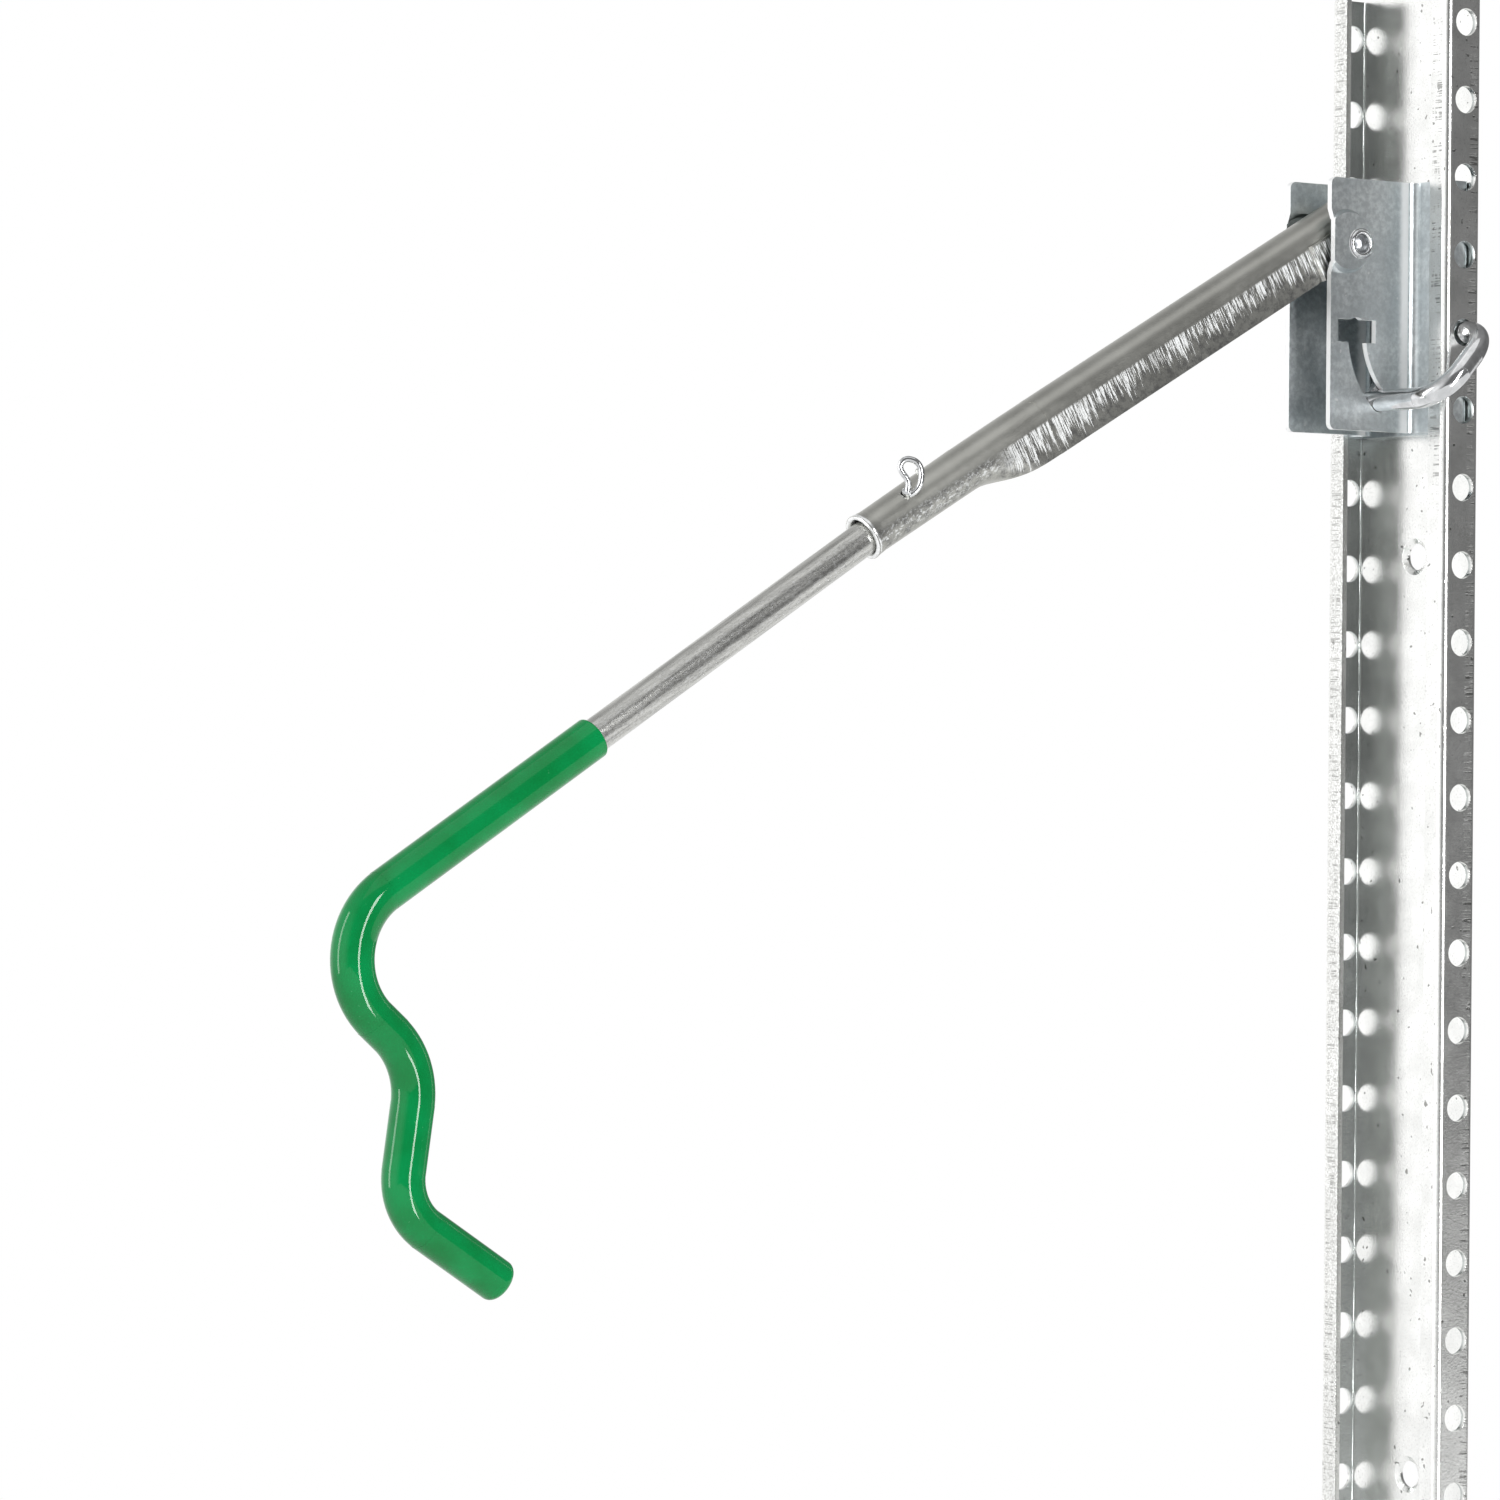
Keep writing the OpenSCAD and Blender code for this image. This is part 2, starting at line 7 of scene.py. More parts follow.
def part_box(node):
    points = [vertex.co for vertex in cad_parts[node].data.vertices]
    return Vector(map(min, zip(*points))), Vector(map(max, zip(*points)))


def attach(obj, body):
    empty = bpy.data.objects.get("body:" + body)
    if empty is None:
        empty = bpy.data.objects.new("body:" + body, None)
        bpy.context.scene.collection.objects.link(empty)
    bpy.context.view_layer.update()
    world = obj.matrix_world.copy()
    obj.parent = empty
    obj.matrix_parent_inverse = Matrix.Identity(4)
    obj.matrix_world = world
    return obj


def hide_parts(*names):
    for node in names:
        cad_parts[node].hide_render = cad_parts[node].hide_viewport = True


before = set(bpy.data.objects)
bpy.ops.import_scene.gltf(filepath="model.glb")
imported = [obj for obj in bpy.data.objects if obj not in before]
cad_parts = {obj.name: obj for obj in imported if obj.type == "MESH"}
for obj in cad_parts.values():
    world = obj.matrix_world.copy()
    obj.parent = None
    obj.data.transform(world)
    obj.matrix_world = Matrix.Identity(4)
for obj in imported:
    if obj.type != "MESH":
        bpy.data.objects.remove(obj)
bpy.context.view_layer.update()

# The viewpoint: a long lens level with the middle of the rail, a little to the left of the holder, so
# that the near flange of the rail, the near cheek of the bracket and the arm's side show.
EYE = Vector((-1.22065, -1.40525, 0.0850))
TURN = 34.24
ROLL = 0.48
SENSOR = 36
FOCAL_PX = 5650
FRAME_PX = 1500
camera_data = bpy.data.cameras.new("viewpoint")
camera_data.sensor_width = SENSOR
camera_data.lens = SENSOR * FOCAL_PX / FRAME_PX
camera_data.clip_start = 0.1
camera_data.clip_end = 20
camera = bpy.data.objects.new("viewpoint", camera_data)
bpy.context.scene.collection.objects.link(camera)
camera.matrix_world = (
    Matrix.Translation(EYE)
    @ Matrix.Rotation(math.radians(-TURN), 4, "Z")
    @ Matrix.Rotation(math.radians(90), 4, "X")
    @ Matrix.Rotation(math.radians(ROLL), 4, "Z")
)
bpy.context.scene.camera = camera


# The studio: a white room behind the holder and a darker one before it, so that bright metal shows
# white on the faces that look past the holder and grey on those that look back into the room.
class Tree:
    """Adds nodes to a material or world, each by its type, its settings and its sockets."""

    def __init__(self, owner):
        owner.use_nodes = True
        self.tree = owner.node_tree
        self.tree.nodes.clear()

    def add(self, kind, settings=None, out=0, **sockets):
        node = self.tree.nodes.new(kind)
        for name, value in (settings or {}).items():
            setattr(node, name, value)
        for name, value in sockets.items():
            self.put(node, name, value)
        return Part(self, node.outputs[out]) if node.outputs else node

    def put(self, node, name, value):
        """Links or sets a socket, named as in Blender with _ for a space, or by its number as in0."""
        name = name.replace("_", " ")
        numbered = name.startswith("in") and name[2:].isdigit()
        socket = node.inputs[int(name[2:]) if numbered else name]
        if isinstance(value, Part):
            self.tree.links.new(value.socket, socket)
        elif isinstance(value, (tuple, list)) and socket.type == "RGBA":
            socket.default_value = (*value, 1) if len(value) == 3 else value
        else:
            socket.default_value = value

    def split(self, vector):
        """The X, Y and Z of a vector."""
        node = self.tree.nodes.new("ShaderNodeSeparateXYZ")
        self.tree.links.new(vector.socket, node.inputs[0])
        return [Part(self, one) for one in node.outputs]

    def join(self, x, y, z):
        return self.add("ShaderNodeCombineXYZ", X=x, Y=y, Z=z)

    def noise(self, place, scale, detail=3.0, rough=0.5):
        return self.add("ShaderNodeTexNoise", Vector=place, Scale=scale, Detail=detail, Roughness=rough)

    def blend(self, share, first, second):
        """The first colour at a share of 0, the second at 1."""
        return self.add("ShaderNodeMix", {"data_type": "RGBA"}, out=2, Factor=share, in6=first, in7=second)

    def distance(self, first, second):
        return self.add("ShaderNodeVectorMath", {"operation": "DISTANCE"}, out="Value", in0=first, in1=second)

    def bump(self, height, strength, distance):
        return self.add("ShaderNodeBump", Height=height, Strength=strength, Distance=distance)

    def surface(self, **sockets):
        """Ends a piece's material: the one shader that its patterns feed."""
        shader = self.add("ShaderNodeBsdfPrincipled", **sockets)
        self.add("ShaderNodeOutputMaterial", Surface=shader)


class Part:
    """One node's output. Adding, scaling or comparing it adds the Math node that does so."""

    def __init__(self, tree, socket):
        self.tree, self.socket = tree, socket

    def maths(self, operation, a, b=0.0):
        return self.tree.add("ShaderNodeMath", {"operation": operation}, in0=a, in1=b)

    def __add__(self, other):
        return self.maths("ADD", self, other)

    __radd__ = __add__

    def __mul__(self, other):
        return self.maths("MULTIPLY", self, other)

    __rmul__ = __mul__

    def __sub__(self, other):
        return self.maths("SUBTRACT", self, other)

    def __rsub__(self, other):
        return self.maths("SUBTRACT", other, self)

    def __abs__(self):
        return self.maths("ABSOLUTE", self)

    def most(self, other):
        return self.maths("MAXIMUM", self, other)

    def step(self, low, high):
        """0 below low, 1 above high, and smooth between them."""
        return self.tree.add(
            "ShaderNodeMapRange",
            {"interpolation_type": "SMOOTHSTEP"},
            Value=self,
            From_Min=low,
            From_Max=high,
        )


BACKDROP = 1.15
ROOM = 0.18
CEILING = 0.3
world = bpy.data.worlds.new("studio")
bpy.context.scene.world = world
air = Tree(world)
seen = air.add("ShaderNodeBackground", Color=(1, 1, 1), Strength=1.0)
way = air.add("ShaderNodeTexCoord", out="Generated")
across, depth, height = air.split(way)
# Bright in the camera's direction of view, dark at its back, and dimmer towards the ceiling
behind = (depth * 0.78 - across * 0.62).step(-0.12, 0.48)
above = height.step(0.1, 0.9)
level = (behind * (BACKDROP - ROOM) * (1 - above * 0.6) + ROOM).most(above * CEILING)
lit = air.add("ShaderNodeBackground", Color=air.join(level, level, level), Strength=1.0)
direct = air.add("ShaderNodeLightPath", out="Is Camera Ray")
air.add("ShaderNodeOutputWorld", Surface=air.add("ShaderNodeMixShader", Fac=direct, in1=lit, in2=seen))


def lamp(name, place, aim, size, watts):
    """A soft box, turned towards a place on the holder."""
    data = bpy.data.lights.new(name, "AREA")
    data.shape = "RECTANGLE"
    data.size, data.size_y = size
    data.energy = watts
    made = bpy.data.objects.new(name, data)
    bpy.context.scene.collection.objects.link(made)
    made.location = place
    made.rotation_euler = (Vector(aim) - Vector(place)).to_track_quat("-Z", "Y").to_euler()


lamp("overhead", (-0.5, -0.5, 1.9), (-0.1, 0, 0.1), (1.6, 1.6), 5)
lamp("left", (-1.9, 0.5, 0.4), (-0.1, 0, 0.1), (0.3, 1.6), 10)
lamp("strip", (-0.28, -1.95, 0.1), (-0.25, 0, 0.05), (0.3, 1.8), 32)

# The floor lies far below, so that it doesn't brighten the lower end of the rail
bpy.ops.object.select_all(action="DESELECT")
bpy.ops.mesh.primitive_plane_add(size=12, location=(0, 0, -1))
floor = bpy.context.object
floor.name = "floor"
floor.data.materials.append(bpy.data.materials.new("white_floor"))
paint = Tree(floor.data.materials[0])
matt = paint.add("ShaderNodeBsdfDiffuse", Color=(0.85, 0.85, 0.85))
white = paint.add("ShaderNodeEmission", Color=(1, 1, 1), Strength=1.0)
straight = paint.add("ShaderNodeLightPath", out="Is Camera Ray")
mirrored = paint.add("ShaderNodeLightPath", out="Is Glossy Ray")
paint.add(
    "ShaderNodeOutputMaterial",
    Surface=paint.add("ShaderNodeMixShader", Fac=straight.most(mirrored), in1=matt, in2=white),
)


# The wall rail: galvanised steel strip, punched along both edges and rolled to a C. Its zinc has a fine
# speckle, dark pits, and rows of short marks near the edges where the rolls pressed it.
def rounded(node, name, width):
    """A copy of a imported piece, to have its cut edges taken off as tumbling or plating does."""
    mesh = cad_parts[node].data.copy()
    mesh.name = name
    made = bpy.data.objects.new(name, mesh)
    bpy.context.scene.collection.objects.link(made)
    bpy.ops.object.select_all(action="DESELECT")
    bpy.context.view_layer.objects.active = made
    made.select_set(True)
    bpy.ops.object.mode_set(mode="EDIT")
    bpy.ops.mesh.select_all(action="SELECT")
    bpy.ops.mesh.remove_doubles(threshold=0.000002)
    bpy.ops.mesh.dissolve_limited(angle_limit=math.radians(0.3))
    bpy.ops.object.mode_set(mode="OBJECT")
    edge = made.modifiers.new("edge", "BEVEL")
    edge.width = width
    edge.segments = 2
    edge.limit_method = "ANGLE"
    edge.angle_limit = math.radians(28)
    edge.miter_outer = "MITER_ARC"
    bpy.ops.object.modifier_apply(modifier="edge")
    bpy.ops.object.shade_smooth_by_angle(angle=math.radians(35))
    flat = made.modifiers.new("flat", "WEIGHTED_NORMAL")
    flat.keep_sharp = True
    bpy.ops.object.modifier_apply(modifier="flat")
    return made


def finish(name):
    """A new material, its nodes, and the places on the piece that its patterns go by."""
    material = bpy.data.materials.new(name)
    tree = Tree(material)
    return material, tree, tree.add("ShaderNodeTexCoord", out="Object")


def dress(piece, material):
    """Gives a piece its one material."""
    piece.data.materials.clear()
    piece.data.materials.append(material)


RAIL_W = 0.058
RAIL_D = 0.015
rail_zinc, t, place = finish("galvanised_rail")
x, y, z = t.split(place)
cloud = t.noise(place, 70, 5.0, 0.6)
speck = t.noise(place, 1500, 2.0, 0.6)
brushed = t.noise(t.join(x * 900, y * 900, z * 14), 1.0, 3.0, 0.5)
pits = t.noise(place, 420, 1.0).step(0.72, 0.76)
# The rolls' ticks come in groups, on the flanges' outsides near the wall and near the lips' inner edges.
# The near lip has none below the bracket.
ticks = t.noise(t.join(x * 60, y * 60, z * 1300), 1.0, 2.0, 0.8).step(0.52, 0.62)
groups = t.noise(t.join(x * 500, y * 500, z * 90), 1.0, 3.0).step(0.36, 0.56)
upper = y.step(-0.001, 0.001).most(z.step(0.15, 0.19))
outside = abs(y).step(RAIL_W / 2 - 0.0012, RAIL_W / 2 - 0.0003)
near_wall = x.step(-0.0062, -0.0045) * (1 - x.step(-0.0022, -0.001))
lips = (0 - x).step(RAIL_D - 0.0012, RAIL_D - 0.0004)
inner_lip = abs(y).step(0.0215, 0.0225) * (1 - abs(y).step(0.0262, 0.027))
marks = (ticks * groups * outside * near_wall + ticks * lips * inner_lip * groups * upper).step(0.1, 0.9)
tint = t.blend(cloud.step(0.3, 0.7), (0.82, 0.825, 0.81), (0.96, 0.965, 0.95))
tint = t.blend(speck.step(0.55, 0.72) * 0.4, tint, (0.5, 0.5, 0.48))
tint = t.blend(pits * 0.75, tint, (0.16, 0.16, 0.15))
tint = t.blend(marks * 0.7, tint, (0.2, 0.2, 0.19))
# The far lip is the more speckled. The flanges' insides are coloured darker, as painted shade inside the
# channel
far_lip = lips * y.step(0.02, 0.0205)
tint = t.blend(far_lip * speck.step(0.4, 0.6) * 0.7, tint, (0.62, 0.62, 0.6))
flange_inside_shade = abs(y).step(0.0262, 0.0268) * (1 - abs(y).step(0.0276, 0.0284)) * (1 - lips)
tint = t.blend(flange_inside_shade * 0.9, tint, (0.52, 0.55, 0.54))
relief = t.bump(speck * 0.7 + brushed * 0.2 - pits - marks, 0.22, 0.0002)
t.surface(
    Base_Color=tint,
    Metallic=1.0,
    Roughness=cloud * 0.1 + brushed * 0.05 + 0.13,
    Normal=relief,
)
rail = rounded("wall_rail", "rail_profile", 0.00022)
dress(rail, rail_zinc)
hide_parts("wall_rail")
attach(rail, "mount")

# The bracket: one zinc-plated blank, bent to a channel in the rail and two cheeks before it. Its plating has
# a bluish mottle, its sheared edges are coloured bright as wear and painted highlight, and its bends carry
# painted highlights.
CHEEK_OUT = 0.048
BOSS = (-0.0416, 0, 0.2501)
bracket_zinc, t, place = finish("zinc_bracket")
x, y, z = t.split(place)
cloud = t.noise(place, 45, 4.0, 0.6)
mottle = t.noise(place, 520, 3.0, 0.65)
drawn = t.noise(t.join(x * 160, y * 160, z * 30), 1.0, 3.0)
grit = t.noise(place, 1700, 2.0, 0.7)
pale = t.noise(place, 380, 1.0).step(0.74, 0.79)
tint = t.blend(cloud.step(0.35, 0.65), (0.64, 0.69, 0.71), (0.86, 0.905, 0.915))
tint = t.blend(mottle.step(0.35, 0.7) * 0.6 + 0.4, (0.5, 0.54, 0.555), tint)
tint = t.blend(pale * 0.6, tint, (0.95, 0.96, 0.96))
# The sheared edges are coloured bright, partly as bare worn edges and partly as painted highlight: they face
# along the cheeks and not across them. The skirt of the pressed-out place faces so too, but gets painted
# shade.
facing = t.split(t.add("ShaderNodeTexCoord", out="Normal"))[1]
in_rail = x.step(-CHEEK_OUT + 0.024, -CHEEK_OUT + 0.026)
front = 1 - x.step(-CHEEK_OUT + 0.0003, -CHEEK_OUT + 0.0006)
from_boss = t.distance(t.join(x, 0.0, z), BOSS)
off_boss = from_boss.step(0.0109, 0.0112)
edge_wear_and_highlight = (1 - abs(facing).step(0.35, 0.85)) * (1 - in_rail) * off_boss.most(front)
skirt_shade = from_boss.step(0.0088, 0.0094) * (1 - off_boss) * (1 - abs(facing).step(0.9, 0.97)) * (1 - front)
tint = t.blend(skirt_shade * 0.75, tint, (0.36, 0.39, 0.4))
# Painted highlight: the bends beside the rail are coloured pale
bend = x.step(-0.0204, -0.0172) * (1 - x.step(-0.0158, -0.0153))
tint = t.blend(edge_wear_and_highlight.most(bend * 0.9), tint, (0.97, 0.98, 0.98))
relief = t.bump(grit * 0.4 + mottle * 0.6, 0.2, 0.00025)
t.surface(
    Base_Color=tint,
    Metallic=1 - edge_wear_and_highlight.most(bend * 0.7) * 0.6,
    Roughness=mottle * 0.12 + drawn * 0.06 + 0.26,
    Normal=relief,
)
sheet = rounded("bracket", "bracket_sheet", 0.0003)
dress(sheet, bracket_zinc)
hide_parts("bracket")
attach(sheet, "mount")

# The friction washers: two discs punched from dark fibre and left as cut. Each lies on the rivet in the
# hollow behind a cheek's pressed-out place, and they keep the arm where it is put.
fibre, t, place = finish("black_fibre")
fibres = t.noise(place, 1200, 3.0, 0.7)
t.surface(
    Base_Color=t.blend(fibres.step(0.3, 0.7), (0.02, 0.02, 0.02), (0.045, 0.043, 0.04)),
    Roughness=fibres * 0.2 + 0.55,
    Normal=t.bump(fibres, 0.3, 0.0002),
)
dress(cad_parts["friction_washers"], fibre)

# The pivot: a tubular steel rivet, bright zinc plated, set through both cheeks with its near end rolled
# over to a ring. A spacer bush on it, between the arm's flanks, is of the same steel.
bright_zinc, t, place = finish("bright_zinc")
x, y, z = t.split(place)
streak = t.noise(place, 110, 4.0, 0.6)
fine = t.noise(place, 1400, 2.0, 0.6)
low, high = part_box("pivot_rivet")
PIVOT = (low + high) / 2
# Painted shade: the rivet's bore is coloured darker, and it is rougher
bore = 1 - t.distance(t.join(x, 0.0, z), (PIVOT.x, 0, PIVOT.z)).step(0.0025, 0.0031)
plate = t.blend(streak.step(0.35, 0.7), (0.6, 0.61, 0.62), (0.84, 0.85, 0.86))
t.surface(
    Base_Color=t.blend(bore * 0.45, plate, (0.2, 0.21, 0.22)),
    Metallic=1.0,
    Roughness=fine * 0.1 + bore * 0.25 + 0.09,
    Normal=t.bump(streak * 0.8 + fine * 0.2, 0.12, 0.0004),
)
dress(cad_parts["pivot_bush"], bright_zinc)


def turned(name, centre, axis, rings, hollow=False):
    """A piece turned about an axis, through rings of (radius, place on the axis). The last ring of a
    hollow one joins its first, and the ends of any other are filled."""
    bpy.ops.object.select_all(action="DESELECT")
    radius, place = rings[0]
    bpy.ops.mesh.primitive_circle_add(vertices=48, radius=radius)
    made = bpy.context.object
    made.name = made.data.name = name
    bpy.ops.object.mode_set(mode="EDIT")
    bpy.ops.mesh.select_all(action="SELECT")
    bpy.ops.transform.translate(value=(0, 0, place))
    for wide, on in rings[1:]:
        bpy.ops.mesh.extrude_region_move(TRANSFORM_OT_translate={"value": (0, 0, on - place)})
        bpy.ops.transform.resize(value=(wide / radius, wide / radius, 1), center_override=(0, 0, on))
        radius, place = wide, on
    if hollow:
        bpy.ops.mesh.select_all(action="DESELECT")
        bpy.ops.mesh.select_non_manifold(extend=False)
        bpy.ops.mesh.bridge_edge_loops()
        bpy.ops.mesh.select_all(action="SELECT")
    else:
        bpy.ops.mesh.select_all(action="SELECT")
        bpy.ops.mesh.fill_holes(sides=0)
    bpy.ops.mesh.normals_make_consistent(inside=False)
    bpy.ops.object.mode_set(mode="OBJECT")
    made.location = centre
    made.rotation_euler = Vector(axis).to_track_quat("Z", "Y").to_euler()
    bpy.ops.object.transform_apply(location=True, rotation=True, scale=True)
    bpy.ops.object.shade_smooth_by_angle(angle=math.radians(38))
    return made


SET = (high.y - low.y) / 2
BORE = 0.0029
SHANK = 0.00325
HEAD = 0.0055
CORE = 0.0005
rivet = turned("tubular_rivet", PIVOT, (0, -1, 0), (
    # The bore, up from its blind end
    (CORE, SET - 0.004),
    (BORE - 0.0002, SET - 0.004),
    (BORE, SET - 0.0037),
    (BORE, SET - 0.0008),
    # The ring, rolled outwards and down on the cheek
    (BORE + 0.0002, SET - 0.0003),
    (BORE + 0.00055, SET - 0.00003),
    (BORE + 0.00095, SET),
    (BORE + 0.0014, SET - 0.0002),
    (BORE + 0.0016, SET - 0.00045),
    (BORE + 0.0017, SET - 0.00065),
    (BORE + 0.002, SET - 0.0007),
    (BORE + 0.0022, SET - 0.00098),
    # The shank, and the head at the far cheek
    (SHANK, SET - 0.00099),
    (SHANK, 0.001 - SET),
    (HEAD, 0.00099 - SET),
    (HEAD, 0.0007 - SET),
    (0.0051, 0.0002 - SET),
    (0.0046, -SET),
    (CORE, -SET),
))
dress(rivet, bright_zinc)
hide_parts("pivot_rivet")
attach(rivet, "mount")

# The swinging arm: one galvanised strip, rolled to a channel round the pivot and closed to a split tube
# towards the hook. The rolls left short bright scratches across its flanks, thickest below the crown.
TILT = math.radians(29.5)
CHANNEL_L = 0.136
CLOSING_L = 0.032


def along_arm(x, z):
    """How far a place lies along the arm from the pivot, and how far above the arm's pivot line."""
    dx = x - PIVOT.x
    dz = z - PIVOT.z
    s = dx * -math.cos(TILT) + dz * -math.sin(TILT)
    h = dx * -math.sin(TILT) + dz * math.cos(TILT)
    return s, h


arm_zinc, t, place = finish("arm_strip")
x, y, z = t.split(place)
s, h = along_arm(x, z)
cloud = t.noise(place, 60, 4.0, 0.6)
speck = t.noise(place, 1300, 2.0, 0.6)
mottle = t.noise(place, 480, 3.0, 0.7)
grain = t.noise(t.join(s * 700, y * 700, h * 1100), 1.0, 3.0, 0.75)
lines = t.noise(t.join(s * 1500, y * 40, h * 90 + s * 30), 1.0, 3.0, 0.8)
length = t.noise(t.join(s * 330, y * 30, 3.0), 1.0, 4.0, 1.0)
dense = t.noise(t.join(s * 60, y * 20, 7.0), 1.0, 2.0)
# The scratches start just below the crown's shoulder, and each runs down by its own length. They are
# longer at both ends of the channel, and stop where it has closed to a tube.
SHOULDER = 0.0062
ends = 1 - (s - 0.012).step(0, 0.022) + (s - CHANNEL_L + 0.03).step(0, 0.03)
drop = (SHOULDER - h) - (length - 0.3) * (ends * 0.012 + 0.026)
flank = abs(y).step(0.0058, 0.0068)
below = (SHOULDER + 0.001 - h).step(0, 0.002)
scratched = (
    lines.step(0.47, 0.55)
    * (1 - drop.step(-0.0012, 0.0006))
    * (SHOULDER + 0.0004 - h).step(0, 0.0009)
    * (1 - s.step(CHANNEL_L + 0.014, CHANNEL_L + 0.024))
    * (dense.step(0.2, 0.36) * 0.6 + 0.4)
    * flank
)
closed = s.step(CHANNEL_L, CHANNEL_L + CLOSING_L)
tube_side = closed * grain.step(0.5, 0.6) * 0.75 * below * h.step(0, 0.0025)
side = below * abs(y).step(0.0035, 0.005)
tint = t.blend(cloud.step(0.3, 0.7), (0.44, 0.44, 0.41), (0.53, 0.53, 0.495))
tint = t.blend(mottle.step(0.35, 0.7) * side * 0.8, tint, (0.17, 0.17, 0.17))
# Painted highlight: the pressed nub beside the split pin is coloured bright
NUB = (-0.2021, 0, 0.1708)
nub_highlight = 1 - t.distance(place, NUB).step(0.0012, 0.0016)
tint = t.blend(scratched.most(tube_side).most(nub_highlight), tint, (0.95, 0.97, 0.97))
relief = t.bump(speck * 0.35 + mottle * 0.5 - scratched, 0.2, 0.00025)
t.surface(
    Base_Color=tint,
    Metallic=1 - scratched * 0.75,
    Roughness=cloud * 0.08 + mottle * 0.1 + 0.27,
    Normal=relief,
)
# On this piece the bevel comes out with almost no width, so that its cut edges stay as packed
arm = rounded("swing_arm", "arm_strip_rolled", 0.0002)
dress(arm, arm_zinc)
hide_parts("swing_arm")
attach(arm, "arm")

# The tube's mouth: the end of the arm's strip, turned in a little round the rod where it enters the
# tube. The rod has rubbed its zinc bright.
rubbed_zinc, t, place = finish("rubbed_edge")
rub = t.noise(place, 420, 3.0, 0.6)
t.surface(
    Base_Color=t.blend(rub.step(0.3, 0.6), (0.7, 0.71, 0.71), (0.97, 0.98, 0.98)),
    Metallic=0.85,
    Roughness=rub * 0.15 + 0.15,
    Normal=t.bump(rub, 0.15, 0.0002),
)
OUTWARD = Vector((-math.cos(TILT), 0, -math.sin(TILT)))
MOUTH = Vector((-0.2233, 0, 0.15009))
# Out along the rod, round the lip, and back in beside it within the tube's wall
lip = turned("mouth_lip", MOUTH, OUTWARD, (
    (0.00545, -0.003),
    (0.0055, -0.0009),
    (0.0058, -0.0001),
    (0.0063, 0.0003),
    (0.0069, 0.00025),
    (0.0073, -0.0001),
    (0.00742, -0.0006),
    (0.00737, -0.0011),
    (0.0066, -0.0013),
    (0.0066, -0.003),
), hollow=True)
dress(lip, rubbed_zinc)
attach(lip, "arm")

# The split pin: half-round steel wire, bright zinc plated and folded to an eye, with its two legs pushed
# together through the tube and the rod. The eye and the legs are made as round wire here.
def wire(name, radius, points):
    """Round wire bent through the points."""
    bpy.ops.object.select_all(action="DESELECT")
    bpy.ops.curve.primitive_bezier_curve_add()
    made = bpy.context.object
    made.name = made.data.name = name
    bend = made.data.splines[0]
    bend.bezier_points.add(len(points) - 2)
    for knot, point in zip(bend.bezier_points, points):
        knot.co = point
        knot.handle_left_type = knot.handle_right_type = "AUTO"
    made.data.resolution_u = 8
    made.data.bevel_depth = radius
    made.data.bevel_resolution = 5
    made.data.use_fill_caps = True
    bpy.ops.object.convert(target="MESH")
    made = bpy.context.object
    bpy.ops.object.transform_apply(location=True, rotation=True, scale=True)
    bpy.ops.object.mode_set(mode="EDIT")
    bpy.ops.mesh.select_all(action="SELECT")
    bpy.ops.mesh.normals_make_consistent(inside=False)
    bpy.ops.object.mode_set(mode="OBJECT")
    bpy.ops.object.shade_smooth_by_angle(angle=math.radians(40))
    return made


FOOT = Vector((-0.2104, -0.0047, 0.16385))
ACROSS = Vector((0.8267, -0.5627, 0))
UPWARD = Vector((0, 0, 1))
MM = 0.001
EYE_WIRE = 0.00095
LEGS = 0.00145
# The eye's bends, in millimetres across and up from the foot
eye_bends = (
    (0.9, -0.7), (2.9, 0.7), (4.1, 2.5), (4.5, 4.3), (4.6, 5.9), (4.3, 7.7), (3.3, 9.3), (1.5, 10.3),
    (-0.4, 10.3), (-1.7, 9.1), (-1.9, 7.6), (-1.1, 6.0), (0.0, 4.5), (0.6, 2.8), (0.4, 1.0), (0.6, -0.8),
)
eye = wire("split_pin_eye", EYE_WIRE, [FOOT + (ACROSS * a + UPWARD * b) * MM for a, b in eye_bends])
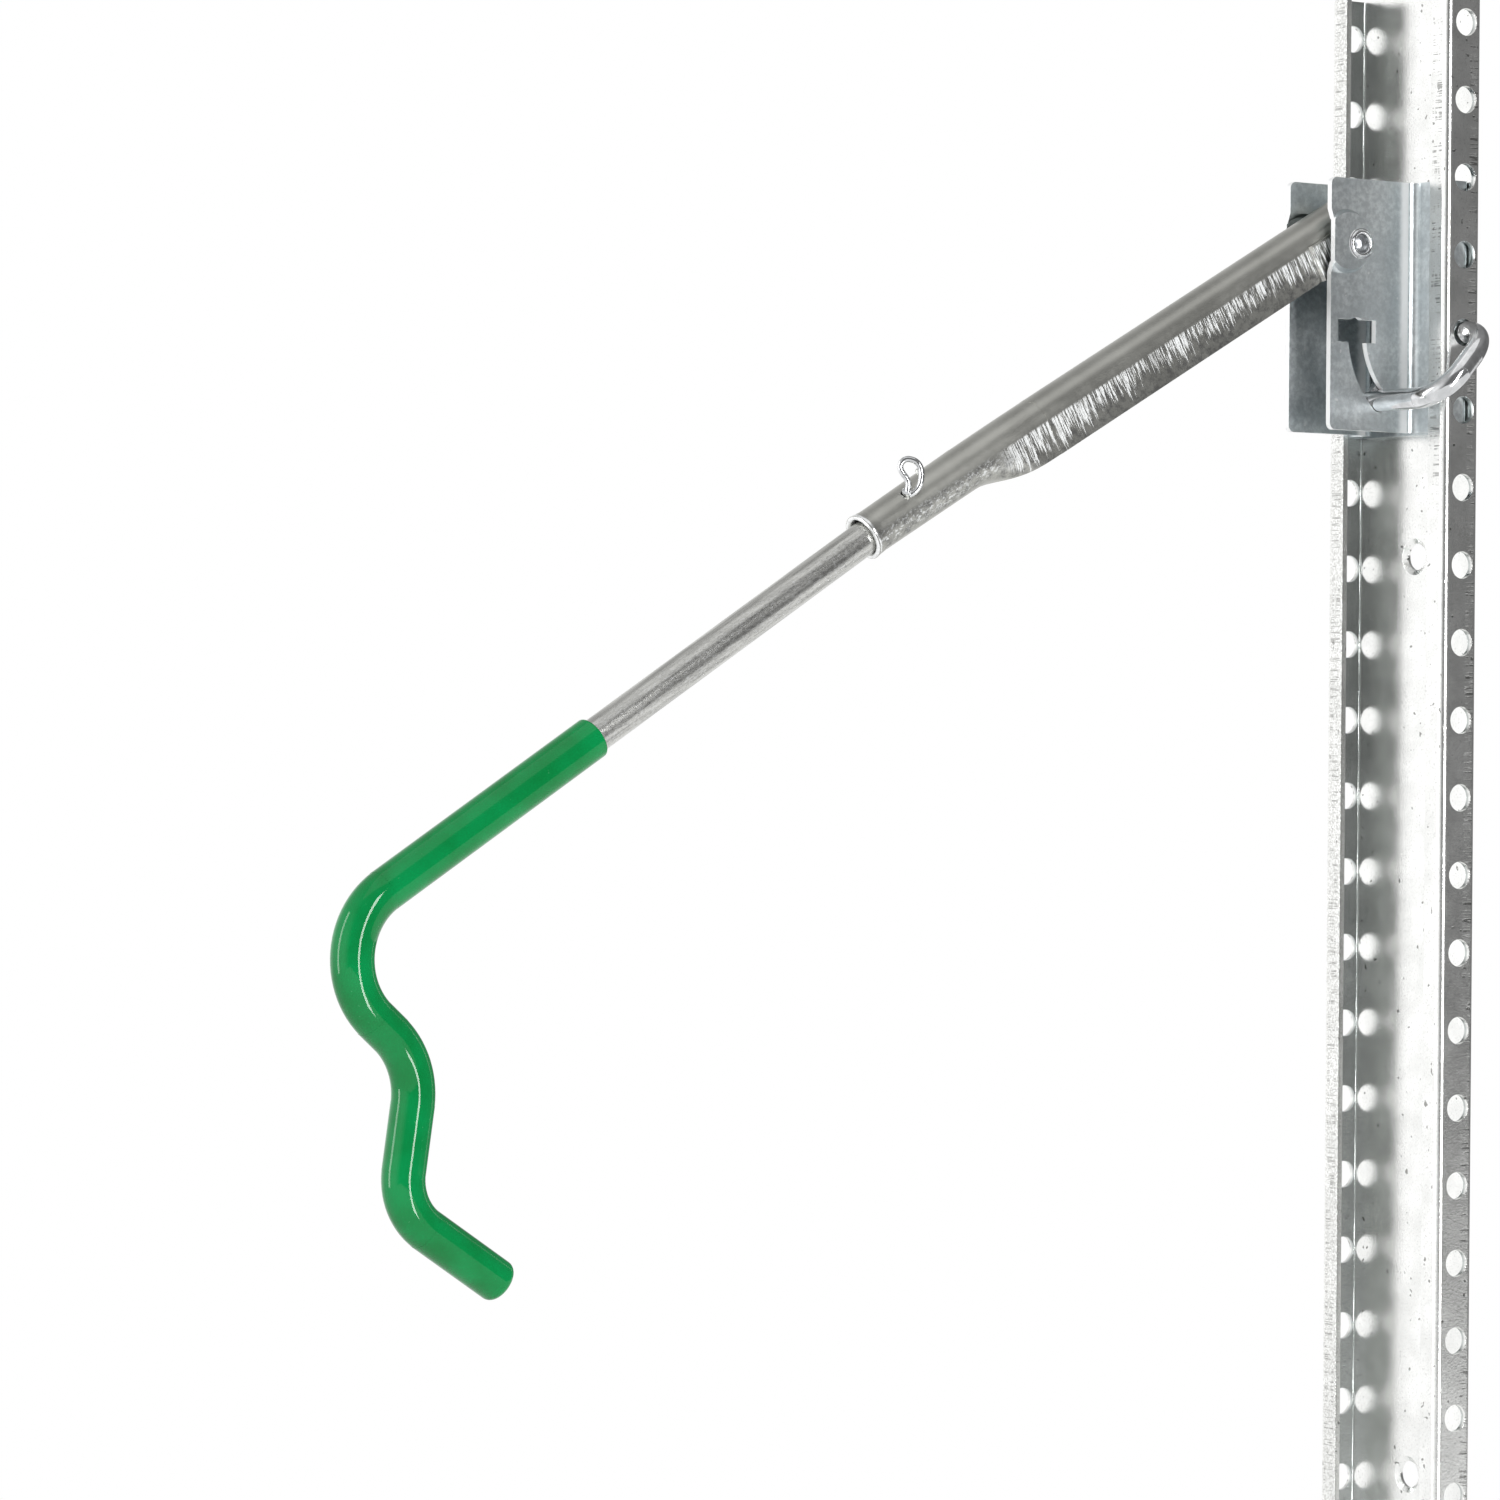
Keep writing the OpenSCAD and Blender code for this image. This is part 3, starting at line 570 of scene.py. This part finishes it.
# The legs go down through the crown, leaning away from the near side
LEAN = math.radians(40)
THROUGH = Vector((0.4924, 0, -0.8704))
INWARD = THROUGH * math.cos(LEAN) + Vector((0, math.sin(LEAN), 0))
shank = wire("split_pin_wire", LEGS, [FOOT + INWARD * deep for deep in (-0.0009, 0.004, 0.0125)])
bpy.ops.object.select_all(action="DESELECT")
eye.select_set(True)
shank.select_set(True)
bpy.context.view_layer.objects.active = shank
bpy.ops.object.join()
dress(shank, bright_zinc)
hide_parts("split_pin")
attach(shank, "arm")

# The hook rod: drawn round steel bar, galvanised and bent in one plane to a hook. Streaks run along it,
# and its near side carries a painted reflection: a band speckled light and dark.
rod_zinc, t, place = finish("rod_steel")
x, y, z = t.split(place)
s, h = along_arm(x, z)
cloud = t.noise(place, 60, 4.0, 0.6)
run = t.noise(t.join(s * 45, y * 700, h * 700), 1.0, 4.0, 0.65)
speck = t.noise(t.join(s * 900, y * 2200, h * 2200), 1.0, 3.0, 0.7)
# Painted reflection: the near side gets a band speckled light and dark
near_side_reflection = (0 - y).step(0.001, 0.0045)
tint = t.blend(run.step(0.35, 0.65), (0.46, 0.46, 0.44), (0.66, 0.66, 0.63))
tint = t.blend(speck.step(0.52, 0.66) * near_side_reflection * 0.5, tint, (0.8, 0.81, 0.84))
tint = t.blend((1 - speck.step(0.34, 0.48)) * near_side_reflection * 0.5, tint, (0.2, 0.2, 0.22))
relief = t.bump(run * 0.5 + speck * 0.5, 0.16, 0.00025)
t.surface(
    Base_Color=tint,
    Metallic=1.0,
    Roughness=cloud * 0.08 + speck * 0.08 + 0.2,
    Normal=relief,
)
dress(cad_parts["hook_rod"], rod_zinc)

# The grip sleeve: green soft vinyl on the bar's outer part and the hook, dipped on while the bar is hot.
# It is glossy and faintly uneven, with a little dust in it.
green, t, place = finish("green_coat")
wave = t.noise(place, 60, 3.0)
dust = t.noise(place, 900, 1.0).step(0.76, 0.8)
tint = t.blend(wave.step(0.3, 0.7), (0.0, 0.19, 0.04), (0.0, 0.26, 0.066))
t.surface(
    Base_Color=t.blend(dust * 0.3, tint, (0.1, 0.42, 0.2)),
    Roughness=wave * 0.03 + 0.045,
    Specular_IOR_Level=0.32,
    Normal=t.bump(wave, 0.06, 0.0006),
)
dress(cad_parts["grip_sleeve"], green)

# The latch pin: round steel wire, bright zinc plated, bent to two legs and a bow. One leg turns in a
# flange hole of the rail, and the other is flattened to two ears that hold behind the near cheek.
dress(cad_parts["latch_pin"], bright_zinc)

bpy.context.scene.view_settings.view_transform = "Standard"
